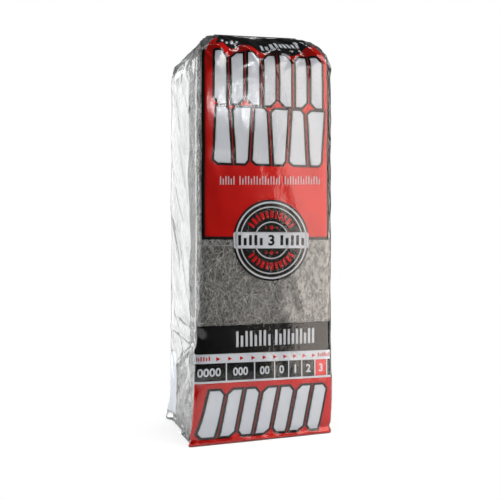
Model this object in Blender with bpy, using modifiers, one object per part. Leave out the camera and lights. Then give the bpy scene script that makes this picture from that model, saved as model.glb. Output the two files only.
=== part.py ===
"""A sealed pack of sixteen folded steel wool pads in a clear printed film bag, standing on its base.

Frame: metres, +Z up, origin at the middle of the base, the printed front faces -Y.
The pads stand four high and four deep, each one a ribbon of steel wool folded in three,
and the film is drawn round the pile, so the bag takes its size from the pads.
"""

import math

import bmesh
import bpy

# The pads
PAD_WIDTH = 0.1128
PAD_HEIGHT = 0.0757
PAD_THICKNESS = 0.02235
ROWS = 4
LAYERS = 4
PAD_GAP = 0.0004
RIBBONS = 3
RIBBON_GAP = 0.0005
RIBBON_COLUMNS = 6
TURN_STEPS = 3
LUMP = 0.0005
LUMP_ROWS = 4

# The film, and the room it leaves round the pads
FILM = 0.00012
SIDE_ROOM = 0.0011
BASE_ROOM = 0.0003
TOP_ROOM = 0.020
SHOULDER_DROP = 0.008
UPPER_CORNER = 0.007
BASE_CORNER = 0.003
CORNER_TAPER = 0.110

# Folds of the film
GUSSET_DEPTH = 0.0026
GUSSET_RISE = 0.012
ROW_DENT = 0.0007
ROW_DENT_SPAN = 0.009
HEM_HEIGHT = 0.006
HEM_PINCH = 0.0006
EAR = 0.0045
EAR_HEIGHT = 0.022
EAR_SHARE = 0.15

# The top seal, a flat fin folded down behind the ridge
RIDGE_INSET = 0.018
RIDGE_FORWARD = 0.010
FIN_LENGTH = 0.012
FIN_GAP = 0.0007
FIN_CORNER = 0.00028
FIN_BEND = 0.0013
FIN_TURN = math.radians(80.0)

# Gathers of the film over the top, one to every second facet of the front and the back
GATHER = 0.0024

# Air slits punched through both side gussets, and one low in the back panel
SLIT_WIDTH = 0.0012
SLIT_HEIGHT = 0.0035
SLIT_REACH = 0.008
LOW_SLIT = 0.114
HIGH_SLIT = 0.258
BACK_SLIT_INSET = 0.022

# Heights of the print's edges on the front, measured up from the base
LABEL_TOP = 0.309
LABEL_FOOT = 0.157
BAND_TOP = 0.091
SCALE_TOP = 0.068
COUNT_TOP = 0.047

# Facets of the bag
FRONT_STEPS = 8
CORNER_STEPS = 3
GUSSET_STEPS = 4
DOME_STEPS = 6
FIN_STEPS = 3
LEVEL_SPACING = 0.0032
DOME_POWER = 1.6
RIDGE_POWER = 1.7

ROW_PITCH = PAD_HEIGHT + PAD_GAP
LAYER_PITCH = PAD_THICKNESS + PAD_GAP
PILE_HEIGHT = BASE_ROOM + FILM + ROWS * ROW_PITCH
BAG_WIDTH = PAD_WIDTH + 2 * (SIDE_ROOM + FILM)
BAG_DEPTH = LAYERS * LAYER_PITCH - PAD_GAP + 2 * (SIDE_ROOM + FILM)
SHOULDER_HEIGHT = PILE_HEIGHT - SHOULDER_DROP
RIDGE_HEIGHT = PILE_HEIGHT + TOP_ROOM
RIDGE_LENGTH = BAG_WIDTH - 2 * RIDGE_INSET

INKS = {
    "clear_film": ((0.86, 0.88, 0.88), 0.25),
    "red_ink": ((0.30, 0.012, 0.012), 1.0),
    "black_ink": ((0.012, 0.012, 0.012), 1.0),
    "white_ink": ((0.75, 0.76, 0.78), 1.0),
}
CLEAR, RED, BLACK, WHITE = range(4)


def clear_scene():
    for obj in list(bpy.data.objects):
        bpy.data.objects.remove(obj, do_unlink=True)


def new_collection(name):
    collection = bpy.data.collections.new(name)
    bpy.context.scene.collection.children.link(collection)
    return collection


def new_material(name, colour, roughness, metallic=0.0, alpha=1.0):
    material = bpy.data.materials.new(name)
    material.use_nodes = True
    shader = material.node_tree.nodes["Principled BSDF"]
    shader.inputs["Base Color"].default_value = (*colour, 1.0)
    shader.inputs["Roughness"].default_value = roughness
    shader.inputs["Metallic"].default_value = metallic
    shader.inputs["Alpha"].default_value = alpha
    return material


def link_mesh(bm, name, collection):
    mesh = bpy.data.meshes.new(name)
    bm.to_mesh(mesh)
    bm.free()
    obj = bpy.data.objects.new(name, mesh)
    collection.objects.link(obj)
    return obj


def ease(share):
    share = min(1.0, max(0.0, share))
    return share * share * (3.0 - 2.0 * share)


def superellipse(share, power):
    """The other half-axis's share at this share of one half-axis."""
    return (1.0 - min(1.0, share) ** power) ** (1.0 / power)


def row_base(row):
    """Height of the underside of a row of pads."""
    return FILM + BASE_ROOM + row * ROW_PITCH


def row_joints():
    return [row_base(row) for row in range(1, ROWS)]


def gusset_at(share, height):
    """How far a folded side is drawn in, at this share of the way from its edge to its middle crease."""
    fold_height = HEM_HEIGHT + share * BAG_DEPTH / 2
    return GUSSET_DEPTH * share * ease(1.0 + (height - fold_height) / GUSSET_RISE)


def section(height):
    """Half the bag's width and depth at a height, with its corner radius."""
    height = min(height, SHOULDER_HEIGHT)
    sink = sum(ROW_DENT * math.exp(-(((height - joint) / ROW_DENT_SPAN) ** 2)) for joint in row_joints())
    sink += HEM_PINCH * math.exp(-(((height - HEM_HEIGHT) / (HEM_HEIGHT / 2)) ** 2))
    corner = BASE_CORNER + (UPPER_CORNER - BASE_CORNER) * ease(height / CORNER_TAPER)
    return BAG_WIDTH / 2 - sink, BAG_DEPTH / 2 - sink, corner


def outline(half_width, half_depth, corner, drawn_in):
    """Points round the bag, seen from above, anticlockwise from the front panel's left end.

    drawn_in gives the depth of a folded side at a share of the way to its crease.
    """
    straight_x = half_width - corner
    straight_y = half_depth - corner
    half = []
    for step in range(FRONT_STEPS):
        half.append((straight_x * (2.0 * step / FRONT_STEPS - 1.0), -half_depth))
    for step in range(CORNER_STEPS):
        turn = math.pi / 2 * step / CORNER_STEPS
        half.append((straight_x + corner * math.sin(turn), -straight_y - corner * math.cos(turn)))
    for step in range(GUSSET_STEPS):
        along = 2.0 * step / GUSSET_STEPS - 1.0
        half.append((half_width - drawn_in(1.0 - abs(along)), straight_y * along))
    for step in range(CORNER_STEPS):
        turn = math.pi / 2 * step / CORNER_STEPS
        half.append((straight_x + corner * math.cos(turn), straight_y + corner * math.sin(turn)))
    return half + [(-x, -y) for x, y in half]


def body_ring(height):
    """One outline of the bag's walls, its four corners drawn out into ears at the base."""
    half_width, half_depth, corner = section(height)
    flare = EAR * (1.0 - ease(height / EAR_HEIGHT))
    ring = []
    for x, y in outline(half_width, half_depth, corner, lambda share: gusset_at(share, height)):
        cornered = (abs(x) / half_width + abs(y) / half_depth) / 2
        cornered = max(0.0, cornered - 1.0 + EAR_SHARE) / EAR_SHARE
        ring.append((x + math.copysign(flare * cornered, x), y, height))
    return ring


def body_levels():
    """Heights of the walls' outlines: the base, the hem, the print's edges and each groove between rows."""
    levels = [0.0, HEM_HEIGHT, HEM_HEIGHT / 2, EAR_HEIGHT, CORNER_TAPER / 4]
    levels += [COUNT_TOP, SCALE_TOP, BAND_TOP, CORNER_TAPER, LABEL_FOOT]
    for joint in row_joints():
        levels += [joint - 2 * ROW_DENT_SPAN, joint - ROW_DENT_SPAN, joint]
        levels += [joint + ROW_DENT_SPAN, joint + 2 * ROW_DENT_SPAN]
    kept = []
    for level in levels:
        apart = all(abs(level - other) >= min(LEVEL_SPACING, HEM_HEIGHT / 2) for other in kept)
        if apart and level <= SHOULDER_HEIGHT - LEVEL_SPACING:
            kept.append(level)
    return sorted(kept)


def dome_ring(share):
    """One outline between the shoulder, share 0, and the ridge, share 1, which lies forward of the middle."""
    in_depth = superellipse(share, DOME_POWER)
    half_depth = FIN_GAP / 2 + (BAG_DEPTH / 2 - FIN_GAP / 2) * in_depth
    forward = RIDGE_FORWARD * (1.0 - in_depth)
    half_width = RIDGE_LENGTH / 2 + RIDGE_INSET * superellipse(share, RIDGE_POWER)
    corner = max(FIN_CORNER, UPPER_CORNER * in_depth)
    height = SHOULDER_HEIGHT + (RIDGE_HEIGHT - SHOULDER_HEIGHT) * share
    ring = outline(half_width, half_depth, corner, lambda share: GUSSET_DEPTH * in_depth * share)
    slope = math.pi / 2 * share
    gathered = []
    for number, (x, y) in enumerate(ring):
        number %= len(ring) // 2
        lift = GATHER * math.sin(math.pi * share) if number < FRONT_STEPS and number % 2 else 0.0
        y += math.copysign(lift * math.cos(slope), y) - forward
        gathered.append((x, y, height + lift * math.sin(slope)))
    return gathered


def dome_share(y, room=0.0):
    """How far up from the shoulder to the ridge the dome is at this depth, with some room under it."""
    past_ridge = y + RIDGE_FORWARD
    reach = BAG_DEPTH / 2 - room + math.copysign(RIDGE_FORWARD, past_ridge)
    return superellipse(abs(past_ridge) / reach, DOME_POWER)


def dome_height(y):
    """Height of the dome over a point of its middle line."""
    return SHOULDER_HEIGHT + (RIDGE_HEIGHT - SHOULDER_HEIGHT) * dome_share(y)


def fin_rings():
    """Outlines along the seal fin, which turns over the ridge and lies down the dome's back."""
    flat = outline(RIDGE_LENGTH / 2, FIN_GAP / 2, FIN_CORNER, lambda share: 0.0)
    middles = []
    for step in range(1, FIN_STEPS + 1):
        turn = FIN_TURN * step / FIN_STEPS
        y = FIN_BEND * (1.0 - math.cos(turn)) - RIDGE_FORWARD
        middles.append((y, RIDGE_HEIGHT + FIN_GAP + FIN_BEND * math.sin(turn), turn))
    bend_y, bend_z, _ = middles[-1]
    for step in range(1, FIN_STEPS + 1):
        y = bend_y + FIN_LENGTH * step / FIN_STEPS
        slope = (dome_height(y + FIN_GAP) - dome_height(y - FIN_GAP)) / (2 * FIN_GAP)
        z = bend_z + dome_height(y) - dome_height(bend_y)
        middles.append((y, z, math.pi / 2 - math.atan(slope)))
    return [
        [(x, y + across * math.cos(turn), z - across * math.sin(turn)) for x, across in flat]
        for y, z, turn in middles
    ]


def loft(rings):
    """A closed tube: its base is a circle moved onto the first outline, and each next one is extruded."""
    bm = bmesh.new()
    order = bm.verts.layers.int.new("order")
    base = bmesh.ops.create_circle(bm, segments=len(rings[0]), radius=1.0, cap_ends=True)["verts"]
    for number, vert in enumerate(base):
        vert[order] = number
        vert.co = rings[0][number]
    edges = list(bm.edges)
    for ring in rings[1:]:
        grown = bmesh.ops.extrude_edge_only(bm, edges=edges)["geom"]
        for item in grown:
            if isinstance(item, bmesh.types.BMVert):
                item.co = ring[item[order]]
        edges = [item for item in grown if isinstance(item, bmesh.types.BMEdge) and item.is_boundary]
    bmesh.ops.edgeloop_fill(bm, edges=edges)
    bmesh.ops.recalc_face_normals(bm, faces=bm.faces)
    return bm


def ink_at(centre):
    """The ink on the film at this point, as the number of its material slot."""
    behind = -BAG_DEPTH / 2 + UPPER_CORNER if centre.z < SHOULDER_HEIGHT else -RIDGE_FORWARD
    if centre.y > behind:
        return CLEAR
    if centre.z > LABEL_TOP:
        return BLACK if abs(centre.x) < RIDGE_LENGTH / 2 else CLEAR
    if BAND_TOP < centre.z < LABEL_FOOT:
        return CLEAR
    if centre.z < COUNT_TOP or centre.z > LABEL_FOOT:
        return RED
    return WHITE if centre.z < SCALE_TOP else BLACK


def slit_cutters(collection):
    """Small upright blocks that punch the air slits through the film."""
    back_x = -(BAG_WIDTH / 2 - BACK_SLIT_INSET)
    places = [(back_x, BAG_DEPTH / 2, LOW_SLIT, SLIT_WIDTH, SLIT_REACH)]
    for side in (-1.0, 1.0):
        for height in (LOW_SLIT, HIGH_SLIT):
            places.append((side * (BAG_WIDTH / 2), 0.0, height, SLIT_REACH, SLIT_WIDTH))
    bm = bmesh.new()
    for x, y, z, size_x, size_y in places:
        block = bmesh.ops.create_cube(bm, size=1.0)["verts"]
        bmesh.ops.scale(bm, vec=(size_x, size_y, SLIT_HEIGHT), verts=block)
        bmesh.ops.translate(bm, vec=(x, y, z), verts=block)
    cutter = link_mesh(bm, "slit_cutter", collection)
    cutter.hide_render = True
    cutter.display_type = "WIRE"
    return cutter


def make_bag(collection, cutters):
    """The film: one printed sleeve with folded sides, a hemmed base and a seal fin, punched for air."""
    rings = [body_ring(height) for height in body_levels()]
    for step in range(DOME_STEPS + 1):
        rings.append(dome_ring(math.sin(math.pi / 2 * step / DOME_STEPS)))
    rings += fin_rings()
    bm = loft(rings)
    for face in bm.faces:
        face.material_index = ink_at(face.calc_center_median())
        face.smooth = True
    bag = link_mesh(bm, "printed_bag", collection)
    for name, (colour, alpha) in INKS.items():
        bag.data.materials.append(new_material(name, colour, 0.18, alpha=alpha))
    wall = bag.modifiers.new("film thickness", "SOLIDIFY")
    wall.thickness = FILM
    wall.offset = -1.0
    punch = bag.modifiers.new("air slits", "BOOLEAN")
    punch.operation = "DIFFERENCE"
    punch.solver = "EXACT"
    punch.object = slit_cutters(cutters)


def fold_line():
    """The middle line of one pad's ribbon, as (y, z) points, folded back on itself at each turn."""
    pitch = (PAD_THICKNESS + RIBBON_GAP) / RIBBONS
    radius = pitch / 2
    turn_z = (PAD_HEIGHT - PAD_THICKNESS / RIBBONS) / 2 - radius
    first_y = -pitch * (RIBBONS - 1) / 2
    between = [PAD_HEIGHT * (row / LUMP_ROWS - 0.5) for row in range(1, LUMP_ROWS)]
    points = [(first_y, -PAD_HEIGHT / 2)] + [(first_y, z) for z in between]
    way = 1.0
    for fold in range(RIBBONS - 1):
        middle_y = first_y + (fold + 0.5) * pitch
        for step in range(TURN_STEPS + 1):
            turn = math.pi * step / TURN_STEPS
            points.append((middle_y - radius * math.cos(turn), way * (turn_z + radius * math.sin(turn))))
        way = -way
        points += [(middle_y + radius, way * z) for z in between]
    points.append((-first_y, way * PAD_HEIGHT / 2))
    return points


def lump_at(point):
    """How far a point of a pad moves to the front or back, so that the pile's outer faces are lumpy."""
    if abs(point.y) < LAYERS * LAYER_PITCH / 2 - PAD_GAP:
        return 0.0
    across = math.cos(math.pi * RIBBON_COLUMNS * (point.x / PAD_WIDTH + 0.5))
    return LUMP * across * math.cos(math.pi * LUMP_ROWS * point.z / PAD_HEIGHT)


def ribbon_mesh():
    """The folded ribbon of one pad, centred on the origin, before the pile and the film squeeze it."""
    line = fold_line()
    bm = bmesh.new()
    strip = [
        bm.verts.new((PAD_WIDTH * (place / RIBBON_COLUMNS - 0.5), *line[0]))
        for place in range(RIBBON_COLUMNS + 1)
    ]
    edges = [bm.edges.new(pair) for pair in zip(strip, strip[1:])]
    for y, z in line[1:]:
        grown = bmesh.ops.extrude_edge_only(bm, edges=edges)["geom"]
        verts = [item for item in grown if isinstance(item, bmesh.types.BMVert)]
        for vert in verts:
            vert.co.y = y
            vert.co.z = z
        grown_edges = [item for item in grown if isinstance(item, bmesh.types.BMEdge)]
        edges = [edge for edge in grown_edges if all(vert in verts for vert in edge.verts)]
    bmesh.ops.recalc_face_normals(bm, faces=bm.faces)
    guide = link_mesh(bm, "ribbon_guide", bpy.context.scene.collection)
    wall = guide.modifiers.new("wool thickness", "SOLIDIFY")
    wall.thickness = (PAD_THICKNESS + RIBBON_GAP) / RIBBONS - RIBBON_GAP
    wall.offset = 0.0
    wall.use_even_offset = True
    bpy.context.view_layer.update()
    graph = bpy.context.evaluated_depsgraph_get()
    mesh = bpy.data.meshes.new_from_object(guide.evaluated_get(graph))
    bpy.data.objects.remove(guide, do_unlink=True)
    return mesh


def wool_top(x, y):
    """Height of the pile over a point of the base, lower towards the film's shoulders."""
    room = SIDE_ROOM + FILM
    past_end = max(0.0, abs(x) - RIDGE_LENGTH / 2 + room) / RIDGE_INSET
    rise = PILE_HEIGHT - PAD_GAP - SHOULDER_HEIGHT
    return SHOULDER_HEIGHT + rise * dome_share(y, room) * superellipse(past_end, RIDGE_POWER)


def fit_in_bag(point):
    """Where a point of the square pile lies once the film has drawn the pile to its own shape."""
    room = SIDE_ROOM + FILM
    half_width, half_depth, corner = section(point.z)
    y = point.y * (half_depth - room) / (BAG_DEPTH / 2 - room)
    side = half_width - room
    radius = max(corner - room, 0.0)
    straight_y = half_depth - room - radius
    past_corner = min(radius, max(0.0, abs(y) - straight_y))
    reach = side - radius + math.sqrt(radius**2 - past_corner**2)
    reach -= gusset_at(max(0.0, 1.0 - abs(y) / straight_y), point.z)
    x = point.x * reach / (PAD_WIDTH / 2)
    top_row = row_base(ROWS - 1)
    if point.z <= top_row:
        return x, y, point.z
    squeeze = (wool_top(x, y) - top_row) / PAD_HEIGHT
    return x, y, top_row + (point.z - top_row) * squeeze


def make_pads(collection):
    """Sixteen pads, numbered from the base up and, in each row, from the front to the back."""
    wool = new_material("steel_wool", (0.36, 0.36, 0.35), 0.4, metallic=1.0)
    ribbon = ribbon_mesh()
    for number in range(ROWS * LAYERS):
        row, layer = divmod(number, LAYERS)
        pad = bpy.data.objects.new(f"pad_{number + 1:02d}", ribbon.copy())
        collection.objects.link(pad)
        middle_y = (layer - (LAYERS - 1) / 2) * LAYER_PITCH
        middle_z = row_base(row) + PAD_HEIGHT / 2
        for vert in pad.data.vertices:
            vert.co.y += middle_y
            vert.co.y += lump_at(vert.co)
            vert.co.z += middle_z
            vert.co = fit_in_bag(vert.co)
        pad.data.materials.append(wool)
        pad.data.shade_smooth()


clear_scene()
pack = new_collection("steel_wool_pad_pack")
make_bag(pack, new_collection("cutters"))
make_pads(pack)
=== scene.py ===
"""Looks of a sealed pack of sixteen steel wool pads: a clear printed film bag drawn round the pile.

Places on the bag are given on its flat sheet: u runs round it from the middle of the front, positive to
the right, and v runs up it from the foot of the wall, negative under the base.
"""

import math

import bmesh
import bpy
import numpy as np
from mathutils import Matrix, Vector, noise
from mathutils.bvhtree import BVHTree


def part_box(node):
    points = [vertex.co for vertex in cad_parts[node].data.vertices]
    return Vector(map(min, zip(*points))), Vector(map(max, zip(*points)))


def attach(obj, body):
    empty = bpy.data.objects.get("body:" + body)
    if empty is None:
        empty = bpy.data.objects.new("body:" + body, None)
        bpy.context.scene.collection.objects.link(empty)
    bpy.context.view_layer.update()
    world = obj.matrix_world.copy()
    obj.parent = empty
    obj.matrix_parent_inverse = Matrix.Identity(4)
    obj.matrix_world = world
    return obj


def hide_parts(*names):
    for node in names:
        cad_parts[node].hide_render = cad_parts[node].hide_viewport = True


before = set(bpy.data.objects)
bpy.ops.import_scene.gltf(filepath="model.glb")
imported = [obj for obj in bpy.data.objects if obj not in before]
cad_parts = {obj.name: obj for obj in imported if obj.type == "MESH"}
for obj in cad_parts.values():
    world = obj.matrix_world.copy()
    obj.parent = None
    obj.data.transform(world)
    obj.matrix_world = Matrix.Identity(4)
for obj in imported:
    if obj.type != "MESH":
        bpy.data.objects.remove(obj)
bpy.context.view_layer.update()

# The bag's film: one sleeve of clear glossy plastic, sealed along the base and in a fin over the top.
# It is drawn tight round the pile, so it rounds off the corners, folds in at the sides and crinkles
# where it is gathered over the top. The flat sheet is a grid, wrapped round the pile point by point.
MM = 0.001
WIDTH = 115.24 * MM
DEPTH = (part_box("printed_bag")[1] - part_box("printed_bag")[0]).y
ROUND = 2 * (WIDTH + DEPTH)
SHOULDER = 296.8 * MM
RIDGE_FORWARD = 10 * MM
RIDGE_LEFT = 33 * MM
RIDGE_RIGHT = 40 * MM
RIDGE_RISE = 29 * MM
RIDGE_TILT = 0.075
FIN = 13 * MM
COLUMNS = 260
CELL = ROUND / COLUMNS
ROW_JOINTS = (76.5 * MM, 152.6 * MM, 228.7 * MM)


def ease(share):
    share = np.clip(share, 0.0, 1.0)
    return share * share * (3.0 - 2.0 * share)


def superellipse(share, power):
    return (1.0 - np.minimum(1.0, share) ** power) ** (1.0 / power)


def dome_path():
    """Share of the way up the dome at equal steps of film, from the shoulder to the ridge."""
    shares = np.sin(np.linspace(0, math.pi / 2, 400))
    y = (DEPTH / 2 - RIDGE_FORWARD) * superellipse(shares, 1.6)
    z = RIDGE_RISE * shares
    run = np.concatenate([[0.0], np.cumsum(np.hypot(np.diff(y), np.diff(z)))])
    return run, shares


DOME_RUN, DOME_SHARES = dome_path()
RIDGE_AT = SHOULDER + DOME_RUN[-1]
LEVELS = round((DEPTH / 2 + RIDGE_AT + FIN) / CELL)
FOOT = -DEPTH / 2
TOP = FOOT + LEVELS * CELL


def ripples(u, v, wide, tall, seed):
    """Smooth random heights from -1 to 1, in patches of this size, closing round the bag."""
    around = max(3, round(ROUND / wide))
    up = int((TOP - FOOT) / tall) + 3
    knots = np.random.default_rng(seed).uniform(-1.0, 1.0, (up, around))
    a = (u / ROUND) % 1.0 * around
    b = np.clip((v - FOOT) / tall, 0.0, up - 1.001)
    i = np.floor(a).astype(int)
    j = np.floor(b).astype(int)
    a = ease(a - i)
    b = ease(b - j)
    left = i % around
    right = (i + 1) % around
    low = knots[j, left] * (1 - a) + knots[j, right] * a
    high = knots[j + 1, left] * (1 - a) + knots[j + 1, right] * a
    return low * (1 - b) + high * b


def creases(u, v, wide, tall, lean, seed):
    """Sharp ridges between smooth patches, leaning by this much, from 0 to 1."""
    return (1.0 - np.abs(ripples(u + lean * v, v, wide, tall, seed))) ** 7


def wrapped(u, v):
    """Where the flat sheet's points lie once wrapped round the pile, with no creases yet."""
    across = np.minimum(np.abs(u), WIDTH + DEPTH - np.abs(u)) / (WIDTH / 2)
    square_x = np.sign(u) * np.minimum(across, 1.0)
    square_y = 2.0 * np.clip((np.abs(u) - WIDTH / 2) / DEPTH, 0.0, 1.0) - 1.0
    z = np.clip(v, 0.0, SHOULDER)
    share = np.interp(v - SHOULDER, DOME_RUN, DOME_SHARES)
    in_depth = np.where(v > SHOULDER, superellipse(share, 1.6), 1.0)
    in_width = np.where(v > SHOULDER, superellipse(share, 1.7), 1.0)
    sink = sum(0.5 * MM * np.exp(-(((z - joint) / (9 * MM)) ** 2)) for joint in ROW_JOINTS)
    left = RIDGE_LEFT + (WIDTH / 2 - RIDGE_LEFT) * in_width - sink
    right = RIDGE_RIGHT + (WIDTH / 2 - RIDGE_RIGHT) * in_width - 0.2 * sink
    fin_half = 0.35 * MM
    half_depth = fin_half + (DEPTH / 2 - fin_half) * in_depth - 0.6 * sink
    half_depth = half_depth * np.clip(1.0 + v / (DEPTH / 2), 0.0, 1.0)
    corner = 3 * MM + 4 * MM * ease(z / (110 * MM))
    corner = np.minimum(corner * in_depth, half_depth * 0.8)
    x = np.where(square_x < 0, square_x * left, square_x * right)
    y = square_y * half_depth
    inner_x = np.clip(x, corner - left, right - corner)
    inner_y = np.clip(y, corner - half_depth, half_depth - corner)
    apart = np.maximum(np.hypot(x - inner_x, y - inner_y), 1e-9)
    x = inner_x + (x - inner_x) * corner / apart
    y = inner_y + (y - inner_y) * corner / apart
    # The side folds in along a wandering crease that lies forward of its middle.
    crease = np.where(u < 0, -0.32, -0.1) + 0.17 * ripples(0 * u, v, ROUND / 3, 42 * MM, 14)
    side = np.abs(square_x) >= 1.0
    fold = np.where(square_y < crease, (square_y + 1) / (crease + 1), (1 - square_y) / (1 - crease))
    fold_height = 6 * MM + fold * DEPTH / 2
    drawn = 3.0 * MM * fold * ease(1.0 + (z - fold_height) / (12 * MM)) * in_depth * side
    drawn = drawn * np.clip(1.0 + v / (DEPTH / 4), 0.0, 1.0)
    x = x - np.sign(square_x) * drawn
    # Ears stand out at the corners of the base, the front left one furthest.
    ear = np.select([(u < 0) & (square_y < 0), (u > 0) & (square_y < 0)], [3.4, -1.6], 3.8) * MM
    cornered = np.clip((np.abs(square_x) + np.abs(square_y)) / 2 - 0.85, 0.0, 0.15) / 0.15
    flare = ear * cornered * (1.0 - ease(z / (24 * MM))) * np.clip(1.0 + v / (8 * MM), 0.0, 1.0)
    # and that corner spreads over the whole of the lowest row.
    flare += 3.8 * MM * cornered * (u < 0) * (square_y < 0) * (1.0 - ease((z - 30 * MM) / (90 * MM)))
    x = x + np.sign(square_x) * flare
    y = y - RIDGE_FORWARD * (1.0 - in_depth)
    rise = np.where(v > SHOULDER, RIDGE_RISE * share, 0.0)
    z = z + rise * (1.0 + RIDGE_TILT * x / RIDGE_RIGHT)
    # Past the ridge the two sides run on as a flat fin that turns back and lies down the dome.
    past = np.clip(v - RIDGE_AT, 0.0, None)
    bend = 2.2 * MM
    turn = np.minimum(past / bend, math.radians(118))
    flat = past - turn * bend
    mid_y = bend * (1 - np.cos(turn)) + flat * np.sin(turn)
    mid_z = bend * np.sin(turn) + flat * np.cos(turn)
    over = square_y * fin_half
    y = np.where(past > 0, mid_y - RIDGE_FORWARD + over * np.cos(turn), y)
    z = np.where(past > 0, z + mid_z - over * np.sin(turn), z)
    return np.stack([x, y, z], axis=-1)


def creased(u, v):
    """How far the film stands out from its smooth form, or in where negative. Heights are summed in mm."""
    on_side = ease((np.abs(u) - WIDTH / 2 + 4 * MM) / (6 * MM))
    on_side = on_side * ease((WIDTH / 2 + DEPTH - np.abs(u)) / (6 * MM))
    edge = np.exp(-(((np.abs(u) - WIDTH / 2) / (7 * MM)) ** 2))
    top = ease((v - SHOULDER + 14 * MM) / (22 * MM))
    height = 0.28 * ripples(u, v, 34 * MM, 48 * MM, 1)
    height += 0.11 * ripples(u + 0.3 * v, v, 9 * MM, 26 * MM, 2)
    height += on_side * (0.45 * ripples(u + 0.5 * v, v, 15 * MM, 20 * MM, 3))
    height += on_side * 0.35 * (creases(u, v, 24 * MM, 40 * MM, 0.7, 4) - 0.3)
    height += on_side * 0.12 * (creases(u, v, 15 * MM, 26 * MM, -0.9, 5) - 0.3)
    height += edge * 0.45 * ripples(u, v, 9 * MM, 13 * MM, 6)
    height += top * 1.6 * (creases(u, v, 30 * MM, 44 * MM, 0.9, 7) - 0.35)
    height += top * 1.2 * (creases(u, v, 21 * MM, 26 * MM, -0.8, 8) - 0.35)
    # Four main gathers run up the front and the back of the dome.
    across = np.minimum(np.abs(u), WIDTH + DEPTH - np.abs(u)) * np.sign(u)
    across = across + 2 * MM * ripples(u, v, 20 * MM, 20 * MM, 13)
    gathered = 0.5 - 0.5 * np.cos(8 * math.pi * (across / WIDTH + 0.5))
    up_dome = np.sin(math.pi * np.interp(v - SHOULDER, DOME_RUN, DOME_SHARES))
    height += 2.4 * gathered**1.5 * up_dome * (v > SHOULDER) * (1 - on_side)
    height += top * 0.8 * ripples(u, v, 8 * MM, 12 * MM, 9)
    # The hem is pinched in along a crimped line just over the base.
    crimp = 1.0 + 0.5 * ripples(u, v, 7 * MM, 90 * MM, 10)
    line = 5.4 * MM + 0.9 * MM * ripples(u, v, 26 * MM, 200 * MM, 11)
    height += -0.9 * crimp * np.exp(-(((v - line) / (1.9 * MM)) ** 2))
    height += 0.5 * crimp * np.exp(-(((v - 1.8 * MM) / (1.6 * MM)) ** 2))
    height += 0.45 * ripples(u, v, 5 * MM, 9 * MM, 12) * np.exp(-((v / (9 * MM)) ** 2))
    # One dent at the left end of the black band, where the film is slack between two rows.
    height += -1.9 * np.exp(-(((u + 55 * MM) / (6 * MM)) ** 2) - (((v - 79 * MM) / (9 * MM)) ** 2))
    # A fold runs across the left side, over the joint of the two lowest rows.
    lift = v - 77 * MM - 0.1 * (np.abs(u) - WIDTH / 2 - DEPTH / 2)
    height += (u < 0) * on_side * 1.1 * np.exp(-((lift / (1.7 * MM)) ** 2))
    # Folds fan out over the left side from the dent, each wider towards its end.
    start_u, start_v = -57, 84
    for end_u, end_v in ((-148, 42), (-140, 96), (-104, 12), (-72, 6)):
        run = Vector((end_u - start_u, end_v - start_v))
        from_u = u / MM - start_u
        from_v = v / MM - start_v
        along = (from_u * run.x + from_v * run.y) / run.length_squared
        aside = (from_u * run.y - from_v * run.x) / run.length
        fold = np.exp(-((aside / (1.2 + 1.6 * np.clip(along, 0, 1))) ** 2))
        height += 1.1 * fold * ease(along / 0.1) * ease((1 - along) / 0.4)
    # The sleeve's own seam, a lap up the middle of the back.
    height += 0.5 * ease((ROUND / 2 - np.abs(u) + 1 * MM) / (1 * MM)) * (np.abs(u) > ROUND / 2 - 5 * MM)
    calm = ease((v - FOOT) / (12 * MM)) * ease((TOP - v) / (14 * MM))
    calm = calm * ease((RIDGE_AT + 2 * MM - v) / (6 * MM) + 0.15)
    return height * MM * calm * np.where(v < 0, 0.25, 1.0)


def normals_of(points):
    """Outward directions at the sheet's points."""
    around = np.concatenate([points[:, -2:-1], points, points[:, 1:2]], axis=1)
    du = around[:, 2:] - around[:, :-2]
    dv = np.gradient(points, axis=0)
    out = np.cross(du, dv)
    return out / np.maximum(np.linalg.norm(out, axis=-1, keepdims=True), 1e-12)


sheet_u, sheet_v = np.meshgrid(
    -ROUND / 2 + CELL * np.arange(COLUMNS + 1), FOOT + CELL * np.arange(LEVELS + 1)
)
film_points = wrapped(sheet_u, sheet_v)
film_points += normals_of(film_points) * creased(sheet_u, sheet_v)[..., None]
film_points[..., 2] = np.maximum(film_points[..., 2], 0.0)
film_points[:, -1] = film_points[:, 0]
film_normals = normals_of(film_points)
film_normals[:, -1] = film_normals[:, 0]


def under_film(u, v, depth):
    """Points this deep under the film, for places on the flat sheet. Each cell is two flat triangles."""
    a = np.clip((u + ROUND / 2) / CELL, 0, COLUMNS - 1e-6)
    b = np.clip((v - FOOT) / CELL, 0, LEVELS - 1e-6)
    i = np.floor(a).astype(int)
    j = np.floor(b).astype(int)
    a = (a - i)[..., None]
    b = (b - j)[..., None]
    found = []
    for grid in (film_points, film_normals):
        near, right, up, far = grid[j, i], grid[j, i + 1], grid[j + 1, i], grid[j + 1, i + 1]
        low = near + a * (right - near) + b * (up - near)
        high = far + (1 - a) * (up - far) + (1 - b) * (right - far)
        found.append(np.where(a + b <= 1, low, high))
    return found[0] - found[1] * depth[..., None]


def new_material(name):
    material = bpy.data.materials.new(name)
    material.use_nodes = True
    return material, material.node_tree.nodes, material.node_tree.links


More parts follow.
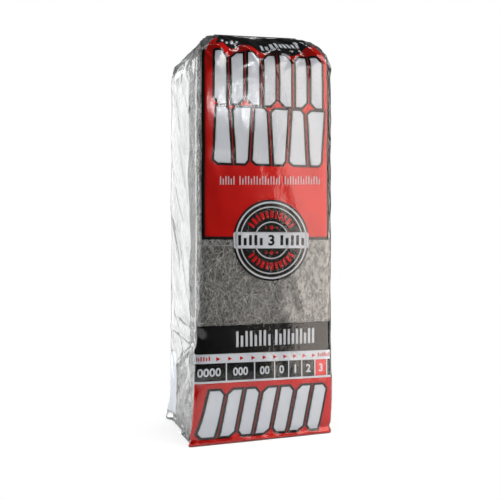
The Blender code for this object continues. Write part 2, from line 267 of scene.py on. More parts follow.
def noise_node(nodes, links, stretch, scale, detail, distortion=0.0):
    """A noise texture in the object's own coordinates, stretched by three scales."""
    place = nodes.new("ShaderNodeTexCoord")
    mapping = nodes.new("ShaderNodeMapping")
    mapping.inputs["Scale"].default_value = stretch
    grain = nodes.new("ShaderNodeTexNoise")
    grain.inputs["Scale"].default_value = scale
    grain.inputs["Detail"].default_value = detail
    grain.inputs["Distortion"].default_value = distortion
    links.new(place.outputs["Object"], mapping.inputs["Vector"])
    links.new(mapping.outputs["Vector"], grain.inputs["Vector"])
    return grain


def ramp_node(nodes, links, source, stops):
    """A colour ramp fed by a texture's value, with (place, colour) stops."""
    ramp = nodes.new("ShaderNodeValToRGB")
    ramp.color_ramp.elements[0].position = stops[0][0]
    ramp.color_ramp.elements[0].color = (*stops[0][1], 1)
    ramp.color_ramp.elements[1].position = stops[-1][0]
    ramp.color_ramp.elements[1].color = (*stops[-1][1], 1)
    for place, colour in stops[1:-1]:
        ramp.color_ramp.elements.new(place).color = (*colour, 1)
    links.new(source, ramp.inputs["Fac"])
    return ramp


def clear_film():
    material, nodes, links = new_material("clear_film")
    gloss = nodes["Principled BSDF"]
    gloss.inputs["Base Color"].default_value = (0.93, 0.94, 0.95, 1)
    gloss.inputs["Metallic"].default_value = 1.0
    gloss.inputs["Roughness"].default_value = 0.13
    clear = nodes.new("ShaderNodeBsdfTransparent")
    fine = noise_node(nodes, links, (1, 1, 0.6), 330, 2.0, 0.4)
    broad = noise_node(nodes, links, (1, 1, 0.8), 90, 3.0, 0.8)
    both = nodes.new("ShaderNodeMath")
    both.operation = "MULTIPLY_ADD"
    both.inputs[1].default_value = 2.2
    links.new(broad.outputs["Fac"], both.inputs[0])
    links.new(fine.outputs["Fac"], both.inputs[2])
    bump = nodes.new("ShaderNodeBump")
    bump.inputs["Strength"].default_value = 0.12
    bump.inputs["Distance"].default_value = 0.0006
    links.new(both.outputs["Value"], bump.inputs["Height"])
    links.new(bump.outputs["Normal"], gloss.inputs["Normal"])
    sheen = nodes.new("ShaderNodeFresnel")
    sheen.inputs["IOR"].default_value = 1.55
    links.new(bump.outputs["Normal"], sheen.inputs["Normal"])
    mixed = nodes.new("ShaderNodeMixShader")
    links.new(sheen.outputs["Fac"], mixed.inputs["Fac"])
    links.new(clear.outputs["BSDF"], mixed.inputs[1])
    links.new(gloss.outputs["BSDF"], mixed.inputs[2])
    links.new(mixed.outputs["Shader"], nodes["Material Output"].inputs["Surface"])
    return material


# small slits punched through the sides let the air out; places on the flat sheet
SLITS = ((-92.9, 263.3), (-84.8, 118.1), (-148.4, 115.7), (92.9, 263.3), (84.8, 118.1))


def make_film():
    bm = bmesh.new()
    bmesh.ops.create_grid(bm, x_segments=COLUMNS, y_segments=LEVELS, size=0.5)
    bmesh.ops.triangulate(bm, faces=bm.faces, quad_method="ALTERNATE")
    cut = []
    reach = 1.4 * CELL
    for face in bm.faces:
        middle = face.calc_center_median()
        u = middle.x * ROUND
        v = FOOT + (middle.y + 0.5) * (TOP - FOOT)
        if any(abs(u - x * MM) < reach and abs(v - z * MM) < reach for x, z in SLITS):
            cut.append(face)
    bmesh.ops.delete(bm, geom=cut, context="FACES_ONLY")
    for vert in bm.verts:
        column = round((vert.co.x + 0.5) * COLUMNS)
        level = round((vert.co.y + 0.5) * LEVELS)
        vert.co = film_points[level, column]
    bmesh.ops.remove_doubles(bm, verts=bm.verts, dist=1e-6)
    for face in bm.faces:
        face.smooth = True
    mesh = bpy.data.meshes.new("film_bag")
    bm.to_mesh(mesh)
    surface = BVHTree.FromBMesh(bm)
    bm.free()
    bag = bpy.data.objects.new("film_bag", mesh)
    bpy.context.scene.collection.objects.link(bag)
    mesh.materials.append(clear_film())
    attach(bag, "root")
    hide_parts("printed_bag")
    return surface


film_surface = make_film()

# The print: opaque inks on the inside of the film, white nearest to it, then black, then red. Each ink
# is a thin layer of its own. Its flat outlines are diced on the sheet's cells and laid under the film.
INK = 0.03 * MM
DOME_STRETCH = 0.12


def place_on_front(x, z):
    """Places read off the photograph in millimetres as places on the flat sheet, longer over the dome."""
    v = z * MM
    return x * MM, v + np.where(v > SHOULDER, (v - SHOULDER) * DOME_STRETCH, 0.0)


def add_outline(bm, corners):
    """One flat face from its corners, in millimetres across and up the front."""
    return bm.faces.new([bm.verts.new((x, z, 0)) for x, z in corners])


def clipped_bar(x0, x1, z0, z1, cut):
    """Corners of an upright bar with all its corners clipped."""
    shape = [(x0 + cut, z0), (x1 - cut, z0), (x1, z0 + cut), (x1, z1 - cut)]
    return shape + [(x1 - cut, z1), (x0 + cut, z1), (x0, z1 - cut), (x0, z0 + cut)]


def grown(corners, by):
    """The outline moved outwards all round by this much, for the dark edge behind a white shape."""
    middle = Vector((sum(x for x, _ in corners), sum(z for _, z in corners))) / len(corners)
    moved = []
    for number, corner in enumerate(corners):
        before = Vector(corners[number - 1])
        here = Vector(corner)
        after = Vector(corners[(number + 1) % len(corners)])
        first = (here - before).normalized()
        second = (after - here).normalized()
        out = Vector((first.y, -first.x)) + Vector((second.y, -second.x))
        if out.length < 1e-6:
            out = here - middle
        out = out.normalized()
        reach = by / max(0.35, out.dot(Vector((first.y, -first.x))))
        moved.append(tuple(here + out * reach))
    return moved


def add_disc(bm, centre, radius, inner=0.0, segments=72):
    """A disc, or a ring where it has an inner radius."""
    disc = bmesh.ops.create_circle(bm, cap_ends=True, radius=radius, segments=segments)["verts"]
    if inner:
        face = disc[0].link_faces[0]
        band = (radius - inner) * math.cos(math.pi / segments)
        bmesh.ops.inset_individual(bm, faces=[face], thickness=band)
        disc = list(disc) + list(face.verts)
        bmesh.ops.delete(bm, geom=[face], context="FACES_ONLY")
    bmesh.ops.translate(bm, vec=(*centre, 0), verts=disc)


def add_number(bm, text, middle, tall, wide=0.8):
    """A plain number, its height in millimetres, centred on this place."""
    curve = bpy.data.curves.new("number", "FONT")
    curve.body = text
    curve.align_x = "CENTER"
    curve.align_y = "CENTER"
    curve.resolution_u = 3
    curve.offset = 0.030
    writing = bpy.data.objects.new("number", curve)
    bpy.context.scene.collection.objects.link(writing)
    bpy.context.view_layer.update()
    mesh = bpy.data.meshes.new_from_object(writing.evaluated_get(bpy.context.evaluated_depsgraph_get()))
    high = max(vert.co.y for vert in mesh.vertices)
    low = min(vert.co.y for vert in mesh.vertices)
    size = tall / (high - low)
    before = set(bm.verts)
    bm.from_mesh(mesh)
    added = [vert for vert in bm.verts if vert not in before]
    bmesh.ops.translate(bm, vec=(0, -(high + low) / 2, 0), verts=added)
    bmesh.ops.scale(bm, vec=(size * wide, size, 1), verts=added)
    bmesh.ops.translate(bm, vec=(*middle, 0), verts=added)
    bpy.data.objects.remove(writing, do_unlink=True)
    bpy.data.curves.remove(curve)
    bpy.data.meshes.remove(mesh)


def ink_material(name, colour, deep, gleam=0.0):
    """A printed ink: its colour, a little deeper where it lies thick, and how far it gleams."""
    material, nodes, links = new_material(name)
    shader = nodes["Principled BSDF"]
    shader.inputs["Metallic"].default_value = gleam
    shader.inputs["Roughness"].default_value = 0.32
    shader.inputs["Specular IOR Level"].default_value = 0.03
    cloud = noise_node(nodes, links, (1, 1, 1), 45, 3.0, 0.2)
    ramp = ramp_node(nodes, links, cloud.outputs["Fac"], [(0.3, deep), (0.7, colour)])
    links.new(ramp.outputs["Color"], shader.inputs["Base Color"])
    return material


def make_ink(name, bm, depth, material):
    """Dices the flat outlines on the sheet's cells, lays them under the film and gives them thickness."""
    bmesh.ops.triangulate(bm, faces=[face for face in bm.faces if len(face.verts) > 4])
    for vert in bm.verts:
        vert.co.x, vert.co.y = place_on_front(vert.co.x, vert.co.y)
    for direction in ((1, 0), (0, 1), (1, 1)):
        start = -ROUND / 2 * direction[0] + FOOT * direction[1]
        places = [vert.co.x * direction[0] + vert.co.y * direction[1] for vert in bm.verts]
        first = math.floor((min(places) - start) / CELL) + 1
        last = math.ceil((max(places) - start) / CELL)
        for number in range(first, last):
            across = start + number * CELL
            point = (across, 0, 0) if direction[0] else (0, across, 0)
            everything = bm.verts[:] + bm.edges[:] + bm.faces[:]
            bmesh.ops.bisect_plane(bm, geom=everything, dist=1e-7, plane_co=point, plane_no=(*direction, 0))
    flat = np.array([vert.co[:2] for vert in bm.verts])
    laid = under_film(flat[:, 0], flat[:, 1], np.full(len(flat), depth))
    for vert, point in zip(bm.verts, laid):
        vert.co = point
    bmesh.ops.remove_doubles(bm, verts=bm.verts, dist=2e-6)
    for face in bm.faces:
        face.smooth = True
    mesh = bpy.data.meshes.new(name)
    bm.to_mesh(mesh)
    bm.free()
    layer = bpy.data.objects.new(name, mesh)
    bpy.context.scene.collection.objects.link(layer)
    thickness = layer.modifiers.new("ink thickness", "SOLIDIFY")
    thickness.thickness = INK
    thickness.offset = -1.0
    mesh.materials.append(material)
    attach(layer, "root")
    return layer


# The front of the label. Rows of bold white bars and fine strokes stand where the real pack has lettering,
# and the scale of grades keeps its plain numbers.
EDGE = 1.9

white = bmesh.new()
black = bmesh.new()
red = bmesh.new()
cells = bmesh.new()
marks = bmesh.new()
numbers = bmesh.new()
slit_shade_outlines = bmesh.new()


def bar_row(x0, x1, z0, z1, count, gap, notch, lean=0.0, rise=0.0, taper=0.0):
    """Bold white bars with dark edges, notched and tapered turn and turn about, on a line that may rise."""
    wide = (x1 - x0 - gap * (count - 1)) / count
    for number in range(count):
        left = x0 + number * (wide + gap)
        right = left + wide
        way = 1 if number % 2 else -1
        if number % 2:
            shape = [(left, z0), (right - notch, z0), (right, z0 + notch), (right, z1)]
            shape += [(left + notch, z1), (left, z1 - notch)]
        else:
            shape = [(left + notch, z0), (right, z0), (right, z1 - notch), (right - notch, z1)]
            shape += [(left, z1), (left, z0 + notch)]
        middle = (left + right) / 2
        placed = []
        for x, z in shape:
            widened = 1 + way * taper * (2 * (z - z0) / (z1 - z0) - 1)
            placed.append((middle + (x - middle) * widened + lean * (z - z0), z + rise * (x - x0)))
        add_outline(white, placed)
        add_outline(black, grown(placed, EDGE))


def stroke_row(bm, x0, x1, z0, z1, pitch, wide, rise=0.0):
    """Fine upright strokes at an even pitch."""
    count = round((x1 - x0 - wide) / pitch)
    for number in range(count + 1):
        x = x0 + number * (x1 - x0 - wide) / count
        up = rise * (x - x0)
        short = (z1 - z0) * 0.28 * (number % 3 == 1)
        foot = z0 + up
        head = z1 - short + up
        add_outline(bm, [(x, foot), (x + wide, foot), (x + wide, head), (x, head)])


bar_row(-43.4, 47.0, 262.6, 302.4, 7, 4.4, 4.2, rise=0.012)
bar_row(-43.0, 47.3, 216.5, 259.6, 6, 4.4, 2.6, rise=0.011, taper=0.22)
bar_row(-53.5, 43.6, 6.2, 41.2, 7, 4.3, 3.4, lean=0.21, rise=-0.013)

# the label's red field, its dark borders and the dark zone over the top
field = [(-51.5, 159.5), (51.7, 159.5), (51.7, 301.0), (50.5, 318.0), (-48.0, 318.0), (-51.5, 303.0)]
add_outline(red, field)
add_outline(black, [(-54.3, 157.4), (-51.5, 157.4), (-51.5, 303.0), (-54.3, 303.0)])
add_outline(black, [(-51.5, 157.4), (53.4, 157.4), (53.4, 159.6), (-51.5, 159.6)])
add_outline(black, [(51.6, 159.6), (53.4, 159.6), (53.4, 304.0), (51.6, 301.0)])
top_edge = [(-44, 309), (-38, 313), (-30, 308), (-22, 311), (-12, 309), (-4, 306), (8, 305), (18, 304)]
top_edge += [(26, 305), (32, 309), (38, 313), (45, 314)]
for (x0, z0), (x1, z1) in zip(top_edge, top_edge[1:]):
    add_outline(black, [(x0, z0), (x1, z1), (x1 * 0.98, 336), (x0 * 0.98, 336)])

stroke_row(white, -3.0, 34.0, 308.6, 315.6, 4.4, 2.5, rise=0.16)
stroke_row(white, -40.0, -24.0, 314.0, 318.0, 4.4, 2.2)

# fine strokes under the bars, and bold ones in the black band
for x0, x1 in ((-39.3, -27.5), (-23.5, 10.5), (14.5, 45.3)):
    risen = 0.03 * (x0 + 39)
    stroke_row(white, x0, x1, 199.6 + risen, 206.2 + risen, 2.35, 0.95, rise=0.03)
add_outline(black, [(-59.5, 69.6), (55.2, 67.6), (55.2, 91.0), (-59.5, 91.0)])
for x0, x1 in ((-26.4, 2.6), (6.4, 40.4)):
    stroke_row(white, x0, x1, 74.0, 86.2, 3.7, 2.1)

# the scale of grades: a white strip with an arrow row, dark cells with plain numbers, one cell red
add_outline(white, [(-59.0, 47.4), (55.4, 45.6), (55.4, 67.8), (-59.0, 69.8)])
CELL_EDGES = (-59.0, -34.2, -11.1, 5.8, 17.8, 29.2, 40.7, 51.4, 55.4)
GRADES = ("0000", "000", "00", "0", "1", "2", "3", "")
for number, (x0, x1) in enumerate(zip(CELL_EDGES, CELL_EDGES[1:])):
    left = x0 + (0.5 if number else 0.0)
    right = x1 - 0.5
    foot = [49.0 - 0.0145 * (x + 59) for x in (left, right)]
    head = [62.7 - 0.020 * (x + 59) for x in (left, right)]
    corners = [(left, foot[0]), (right, foot[1]), (right, head[1]), (left, head[0])]
    add_outline(marks if GRADES[number] == "3" else cells, corners)
    if GRADES[number]:
        add_number(numbers, GRADES[number], ((left + right) / 2, (foot[0] + head[1]) / 2), 6.6, 0.95)
for x in (-40.7, -31.3, -21.6, -12.2, -2.9, 6.1, 14.7, 23.0, 31.3, 39.6):
    z = 65.6 - 0.018 * (x + 41)
    add_outline(marks, [(x - 1.5, z - 1.6), (x + 1.7, z), (x - 1.5, z + 1.6)])
stroke_row(marks, -57.0, -46.5, 64.6, 67.8, 2.0, 1.0)
stroke_row(marks, 43.5, 54.0, 62.8, 66.0, 2.0, 1.0)

# the red foot of the pack
add_outline(red, [(-63.0, 0.2), (57.0, 0.2), (56.6, 45.7), (-59.0, 47.5)])

# a bare white panel low on the back, running round on to the left side
add_outline(white, [(-195.0, 7.0), (-129.0, 7.0), (-129.0, 60.0), (-195.0, 60.0)])

# a black patch under each punched slit, painted shade for the dark hollow seen between its lips
for x, z in SLITS:
    add_outline(slit_shade_outlines, clipped_bar(x - 2.3, x + 2.3, z - 2.4, z + 2.4, 1.2))

# the round badge across the label's foot
BADGE = (3.4, 156.9)
add_disc(black, BADGE, 32.2)
add_disc(white, BADGE, 30.6, 29.2)
add_disc(white, BADGE, 26.7, 25.8)
add_disc(white, BADGE, 14.8, 13.9)
add_outline(white, clipped_bar(BADGE[0] - 31.9, BADGE[0] + 31.9, 150.5, 163.3, 1.2))
for way in (1, -1):
    for number in range(11):
        turn = math.radians(way * (35 + 11 * number))
        along = Vector((math.cos(turn), math.sin(turn)))
        aside = Vector((-along.y, along.x)) * (1.0 + 0.35 * (number % 2))
        near = Vector(BADGE) + along * 17.6
        far = Vector(BADGE) + along * 23.4
        add_outline(marks, [near - aside, far - aside, far + aside, near + aside])
    for x, size in ((-4.6, 1.1), (0.0, 1.9), (4.6, 1.1)):
        z = BADGE[1] + way * 9.9
        x += BADGE[0]
        add_outline(marks, [(x, z - size), (x + size, z), (x, z + size), (x - size, z)])
add_number(cells, "3", BADGE, 8.6, 1.1)
for side in (-1, 1):
    x0, x1 = sorted((BADGE[0] + side * 7.5, BADGE[0] + side * 28.0))
    stroke_row(cells, x0, x1, 152.9, 160.9, 4.1, 2.4)

white_ink = ink_material("white_ink", (0.74, 0.77, 0.81), (0.68, 0.71, 0.76))
black_ink = ink_material("black_ink", (0.010, 0.010, 0.011), (0.006, 0.006, 0.007))
red_ink = ink_material("red_ink", (0.63, 0.006, 0.003), (0.54, 0.005, 0.002), 0.28)
bright_red = ink_material("bright_red_ink", (0.74, 0.010, 0.012), (0.64, 0.008, 0.010), 0.30)
LAYERS = (
    # black patches at the slits: painted shade, not print
    ("slit_painted_shade", slit_shade_outlines, 0.04, black_ink),
    ("print_numbers", numbers, 0.04, white_ink),
    ("print_marks", marks, 0.08, bright_red),
    ("print_cells", cells, 0.12, black_ink),
    ("print_white", white, 0.16, white_ink),
    ("print_black", black, 0.20, black_ink),
    ("print_red", red, 0.24, red_ink),
)
for name, outlines, depth, ink in LAYERS:
    make_ink(name, outlines, depth * MM, ink)

# The pads: sixteen ribbons of coarse steel wool, each folded in three and packed four high and four deep.
# The body of each is its packed block, and loose bright fibres stand out of it up to the film.
ROW_PITCH = 76.1 * MM
LAYER_PITCH = 22.75 * MM
BLOCK_DEPTH = 1.6 * MM
FIBRE_DEPTHS = (0.55 * MM, 1.7 * MM)
FIBRE_STEPS = 7


def wool_materials():
    """The packed wool, near black between its fibre lines as painted shade for the gaps among them, and the
    bright fibres that catch the light in front of it.
    """
    packed, nodes, links = new_material("packed_wool")
    shader = nodes["Principled BSDF"]
    shader.inputs["Metallic"].default_value = 0.3
    shader.inputs["Roughness"].default_value = 0.5
    # thin lines along four leaning directions, the brightest one winning
    tone = None
    for lean, turn in ((-0.85, 0.4), (-0.3, -0.5), (0.25, 0.6), (0.8, -0.3)):
        lines = noise_node(nodes, links, (1, 1, 11), 720, 1.0, 0.22)
        mapping = lines.inputs["Vector"].links[0].from_node
        mapping.vector_type = "TEXTURE"
        mapping.inputs["Rotation"].default_value = (turn, lean, 0)
        mapping.inputs["Location"].default_value = (lean, turn, 0)
        middle = nodes.new("ShaderNodeMath")
        middle.operation = "COMPARE"
        middle.inputs[1].default_value = 0.5
        middle.inputs[2].default_value = 0.019
        links.new(lines.outputs["Fac"], middle.inputs[0])
        if tone is not None:
            most = nodes.new("ShaderNodeMath")
            most.operation = "MAXIMUM"
            links.new(tone, most.inputs[0])
            links.new(middle.outputs["Value"], most.inputs[1])
            middle = most
        tone = middle.outputs["Value"]
    # painted shade: the wool's colour darkened where two rows of pads meet, for the shade in the gap
    # between them
    parts = nodes.new("ShaderNodeSeparateXYZ")
    links.new(mapping.inputs["Vector"].links[0].from_socket, parts.inputs["Vector"])
    shifted = nodes.new("ShaderNodeMath")
    shifted.operation = "SUBTRACT"
    shifted.inputs[1].default_value = ROW_JOINTS[0] - ROW_PITCH
    links.new(parts.outputs["Z"], shifted.inputs[0])
    apart = nodes.new("ShaderNodeMath")
    apart.operation = "PINGPONG"
    apart.inputs[1].default_value = ROW_PITCH / 2
    links.new(shifted.outputs["Value"], apart.inputs[0])
    joint_painted_shade = nodes.new("ShaderNodeMapRange")
    joint_painted_shade.inputs["From Max"].default_value = 1.8 * MM
    joint_painted_shade.inputs["To Min"].default_value = 0.2
    links.new(apart.outputs["Value"], joint_painted_shade.inputs["Value"])
    tone_with_painted_shade = nodes.new("ShaderNodeMath")
    tone_with_painted_shade.operation = "MULTIPLY"
    links.new(tone, tone_with_painted_shade.inputs[0])
    links.new(joint_painted_shade.outputs["Result"], tone_with_painted_shade.inputs[1])
    # from near black, painted shade for the gaps deep in the wool, up to the grey of its fibres
    stops = [(0.0, (0.012, 0.012, 0.011)), (1.0, (0.42, 0.42, 0.41))]
    ramp = ramp_node(nodes, links, tone_with_painted_shade.outputs["Value"], stops)
    links.new(ramp.outputs["Color"], shader.inputs["Base Color"])
    fibre, nodes, links = new_material("wool_fibre")
    shader = nodes["Principled BSDF"]
    shader.inputs["Metallic"].default_value = 0.35
    shader.inputs["Roughness"].default_value = 0.36
    tone = noise_node(nodes, links, (1, 1, 0.5), 420, 1.0)
    stops = [(0.35, (0.48, 0.48, 0.47)), (0.60, (0.98, 0.98, 0.96))]
    ramp = ramp_node(nodes, links, tone.outputs["Fac"], stops)
    links.new(ramp.outputs["Color"], shader.inputs["Base Color"])
    return packed, fibre


def strands_in(u0, u1, v0, v1, per_mm2, seed):
    """Fibres under one stretch of the film: curling paths on the flat sheet, laid at their depths."""
    chance = np.random.default_rng(seed)
    count = int((u1 - u0) * (v1 - v0) / MM**2 * per_mm2)
    u = chance.uniform(u0, u1, count)
    v = chance.uniform(v0, v1, count)
    heading = chance.normal(math.pi / 2, 0.75, count)
    curl = chance.normal(0.0, 0.20, count)
    step = chance.uniform(1.4, 3.0, count) * MM
    base = chance.uniform(0.65, 1.45, count) * MM
    wave = chance.uniform(0.0, 6.3, count)
    paths = []
    for number in range(FIBRE_STEPS + 1):
        depth = base + 0.28 * MM * np.sin(wave + number * 1.3)
        paths.append(under_film(u, v, np.clip(depth, *FIBRE_DEPTHS)))
        u = u + step * np.cos(heading)
        v = v + step * np.sin(heading)
        heading = heading + curl
        curl = curl + chance.normal(0.0, 0.11, count)
    return np.stack(paths, axis=1)


def all_strands():
    """The window's fibres, more of them along its top, right end and left edge, then the other faces'."""
    half = WIDTH / 2
    seam = ROUND / 2 - 2 * MM
    low = 4 * MM
    high = 292 * MM
    stretches = (
        (-half, half, 88 * MM, 160 * MM, 0.15, 21),
        (-half, half, 146 * MM, 158 * MM, 0.2, 27),
        (18 * MM, half, 88 * MM, 158 * MM, 0.36, 28),
        (-half, 8 * MM - half, 160 * MM, high, 0.3, 26),
        (-half - DEPTH, -half, low, high, 0.14, 22),
        (half, half + DEPTH, low, high, 0.10, 23),
        (half + DEPTH, seam, low, high, 0.08, 24),
        (-seam, -half - DEPTH, low, high, 0.08, 25),
    )
    return np.concatenate([strands_in(*stretch) for stretch in stretches])


def fibre_mesh(paths, seed):
    """Thin three-sided strands along these paths, finer at their ends."""
    chance = np.random.default_rng(seed)
    section = bpy.data.curves.new("strand_section", "CURVE")
    section.dimensions = "2D"
    ring = section.splines.new("POLY")
    ring.points.add(2)
    for number, point in enumerate(ring.points):
        turn = 2 * math.pi * number / 3
        point.co = (0.18 * MM * math.cos(turn), 0.12 * MM * math.sin(turn), 0, 1)
    ring.use_cyclic_u = True
    guide = bpy.data.objects.new("strand_section", section)
    bpy.context.scene.collection.objects.link(guide)
    curve = bpy.data.curves.new("strands", "CURVE")
    curve.dimensions = "3D"
    curve.bevel_mode = "OBJECT"
    curve.bevel_object = guide
    curve.use_fill_caps = True
    taper = np.array([0.45] + [1.0] * (FIBRE_STEPS - 1) + [0.45])
    ones = np.ones((FIBRE_STEPS + 1, 1))
    for path in paths:
        line = curve.splines.new("POLY")
        line.points.add(FIBRE_STEPS)
        line.points.foreach_set("co", np.hstack([path, ones]).ravel())
        bold = 1.55 if chance.uniform() < 0.3 else 0.85
        line.points.foreach_set("radius", taper * bold * chance.uniform(0.75, 1.25))
        line.points.foreach_set("tilt", np.full(FIBRE_STEPS + 1, chance.uniform(0, 6.3)))
    obj = bpy.data.objects.new("strands", curve)
    bpy.context.scene.collection.objects.link(obj)
    bpy.context.view_layer.update()
    mesh = bpy.data.meshes.new_from_object(obj.evaluated_get(bpy.context.evaluated_depsgraph_get()))
    for item, data in ((obj, curve), (guide, section)):
        bpy.data.objects.remove(item, do_unlink=True)
        bpy.data.curves.remove(data)
    return mesh


def packed_block(node, seed):
    """The pad's own folded block, remeshed, roughened, and kept under the film."""
    bm = bmesh.new()
    bm.from_mesh(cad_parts[node].data)
    bmesh.ops.remove_doubles(bm, verts=bm.verts, dist=1e-6)
    mesh = bpy.data.meshes.new(node)
    bm.to_mesh(mesh)
    bm.free()
    block = bpy.data.objects.new(node, mesh)
    bpy.context.scene.collection.objects.link(block)
    remesh = block.modifiers.new("even faces", "REMESH")
    remesh.mode = "VOXEL"
    remesh.voxel_size = 2.5 * MM
    bpy.context.view_layer.update()
    even = bpy.data.meshes.new_from_object(block.evaluated_get(bpy.context.evaluated_depsgraph_get()))
    bpy.data.objects.remove(block, do_unlink=True)
    bm = bmesh.new()
    bm.from_mesh(even)
    bpy.data.meshes.remove(even)
    bm.normal_update()
    for vert in bm.verts:
        lump = noise.noise(vert.co * 140 + Vector((seed, 0, 0))) * 0.3 + noise.noise(vert.co * 420) * 0.5
        vert.co += vert.normal * (lump - 0.2) * MM
        nearest, outward, _, _ = film_surface.find_nearest(vert.co)
        depth = (nearest - vert.co).dot(outward)
        if depth < BLOCK_DEPTH:
            vert.co -= outward * (BLOCK_DEPTH - depth)
    for face in bm.faces:
        face.smooth = True
    return bm


def make_pads():
    packed, fibre = wool_materials()
    paths = all_strands()
    middles = paths.mean(axis=1)
    rows = np.clip((middles[:, 2] // ROW_PITCH).astype(int), 0, 3)
    layers = np.clip(((middles[:, 1] + DEPTH / 2) // LAYER_PITCH).astype(int), 0, 3)
    owners = rows * 4 + layers + 1
    for number in range(1, 17):
        node = f"pad_{number:02d}"
        bm = packed_block(node, number * 3.7)
        strands = fibre_mesh(paths[owners == number], number)
        before = len(bm.faces)
        bm.from_mesh(strands)
        bpy.data.meshes.remove(strands)
        bm.faces.ensure_lookup_table()
        for index in range(before, len(bm.faces)):
            bm.faces[index].material_index = 1
        mesh = bpy.data.meshes.new(f"wool_{number:02d}")
        bm.to_mesh(mesh)
        bm.free()
        pad = bpy.data.objects.new(f"wool_{number:02d}", mesh)
        bpy.context.scene.collection.objects.link(pad)
        mesh.materials.append(packed)
        mesh.materials.append(fibre)
        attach(pad, "root")
        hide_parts(node)


make_pads()

# The studio: a plain pale floor that fades into the white room, soft lamps as large panels, and the
# camera where the photograph was taken from.
floor_bm = bmesh.new()
bmesh.ops.create_circle(floor_bm, cap_ends=True, radius=0.31, segments=96)
bmesh.ops.translate(floor_bm, vec=(0, 0, -0.0002), verts=floor_bm.verts)
floor_mesh = bpy.data.meshes.new("floor")
floor_bm.to_mesh(floor_mesh)
floor_bm.free()
floor = bpy.data.objects.new("floor", floor_mesh)
bpy.context.scene.collection.objects.link(floor)
material, nodes, links = new_material("floor")
nodes["Principled BSDF"].inputs["Base Color"].default_value = (0.93, 0.93, 0.93, 1)
nodes["Principled BSDF"].inputs["Roughness"].default_value = 1.0
nodes["Principled BSDF"].inputs["Specular IOR Level"].default_value = 0.0
place = nodes.new("ShaderNodeTexCoord")
distance = nodes.new("ShaderNodeVectorMath")
distance.operation = "LENGTH"
links.new(place.outputs["Object"], distance.inputs[0])
fade = nodes.new("ShaderNodeMapRange")
fade.inputs["From Min"].default_value = 0.02
fade.inputs["From Max"].default_value = 0.10
links.new(distance.outputs["Value"], fade.inputs["Value"])
glow = nodes.new("ShaderNodeEmission")
path = nodes.new("ShaderNodeLightPath")
seen = nodes.new("ShaderNodeMath")
seen.operation = "MULTIPLY"
links.new(fade.outputs["Result"], seen.inputs[0])
links.new(path.outputs["Is Camera Ray"], seen.inputs[1])
mixed = nodes.new("ShaderNodeMixShader")
links.new(seen.outputs["Value"], mixed.inputs["Fac"])
links.new(nodes["Principled BSDF"].outputs["BSDF"], mixed.inputs[1])
links.new(glow.outputs["Emission"], mixed.inputs[2])
links.new(mixed.outputs["Shader"], nodes["Material Output"].inputs["Surface"])
floor_mesh.materials.append(material)

world = bpy.data.worlds.new("studio")
bpy.context.scene.world = world
world.use_nodes = True
nodes = world.node_tree.nodes
links = world.node_tree.links
room = nodes["Background"]
room.inputs["Color"].default_value = (1, 1, 1, 1)
path = nodes.new("ShaderNodeLightPath")
around = nodes.new("ShaderNodeTexCoord")
facing = nodes.new("ShaderNodeVectorMath")
facing.operation = "DOT_PRODUCT"
facing.inputs[1].default_value = (-0.7, 0.7, 0.0)
links.new(around.outputs["Generated"], facing.inputs[0])
# mirrored in the film the room is dark, and bright only behind the pack on its left
behind = nodes.new("ShaderNodeMapRange")
behind.inputs["From Min"].default_value = 0.45
behind.inputs["From Max"].default_value = 0.95
behind.inputs["To Min"].default_value = 0.02
behind.inputs["To Max"].default_value = 0.9
links.new(facing.outputs["Value"], behind.inputs["Value"])
glossy = nodes.new("ShaderNodeMix")
glossy.data_type = "FLOAT"
glossy.inputs["A"].default_value = 0.74
links.new(path.outputs["Is Glossy Ray"], glossy.inputs["Factor"])
links.new(behind.outputs["Result"], glossy.inputs["B"])
seen = nodes.new("ShaderNodeMix")
seen.data_type = "FLOAT"
seen.inputs["B"].default_value = 1.0
links.new(path.outputs["Is Camera Ray"], seen.inputs["Factor"])
links.new(glossy.outputs["Result"], seen.inputs["A"])
links.new(seen.outputs["Result"], room.inputs["Strength"])


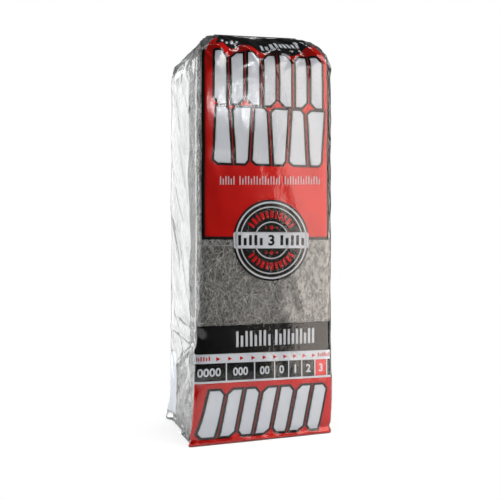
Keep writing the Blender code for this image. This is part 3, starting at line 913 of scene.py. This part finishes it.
def add_softbox(name, place, aim, wide, tall, glow):
    """A lamp panel of this size at this place, facing a point; glow is its brightness, where 1 is white."""
    lamp = bpy.data.lights.new(name, "AREA")
    lamp.shape = "RECTANGLE"
    lamp.size = wide
    lamp.size_y = tall
    lamp.energy = glow * math.pi * wide * tall
    obj = bpy.data.objects.new(name, lamp)
    bpy.context.scene.collection.objects.link(obj)
    obj.location = place
    obj.rotation_mode = "QUATERNION"
    obj.rotation_quaternion = (Vector(place) - Vector(aim)).to_track_quat("Z", "Y")
    obj.visible_camera = False
    return obj


key = add_softbox("key_softbox", (0.36, -0.46, 0.22), (0.03, -0.0465, 0.16), 0.34, 0.62, 4.0)
key.data.color = (1.0, 0.89, 0.80)
add_softbox("rear_card", (-0.48, 0.60, 0.20), (-0.0576, 0.0, 0.16), 0.56, 0.80, 2.7)
add_softbox("side_card", (-0.60, -0.10, 0.20), (-0.0576, 0.0, 0.15), 0.30, 0.50, 2.4)
above = add_softbox("top_softbox", (0.05, 0.0, 0.95), (0, 0, 0.16), 0.7, 0.7, 1.4)
above.visible_glossy = False
add_softbox("glint_strip", (0.0, -0.08, 0.95), (0.0, 0.0, 0.3), 0.60, 0.05, 9)
add_softbox("shoulder_softbox", (0.40, -0.30, 0.72), (0.04, 0.0, 0.30), 0.30, 0.30, 4.2)
add_softbox("hot_spot", (0.257, -0.853, 0.4345), (-0.0206, -0.0465, 0.2628), 0.04, 0.03, 55)

# fitted to the photograph's level and upright lines, in pixels of its square frame
FRAME_SIDE = 500
FOCAL_LENGTH = 686
LOWERED = -8
eye = bpy.data.cameras.new("photo_camera")
eye.sensor_width = 36.0
eye.lens = eye.sensor_width * FOCAL_LENGTH / FRAME_SIDE
eye.shift_y = LOWERED / FRAME_SIDE
eye.clip_start = 0.01
camera = bpy.data.objects.new("photo_camera", eye)
bpy.context.scene.collection.objects.link(camera)
camera.location = (-0.19440, -0.55070, 0.1555)
camera.rotation_euler = (math.radians(90), 0, math.radians(-19.6))
bpy.context.scene.camera = camera
bpy.context.scene.view_settings.view_transform = "Standard"
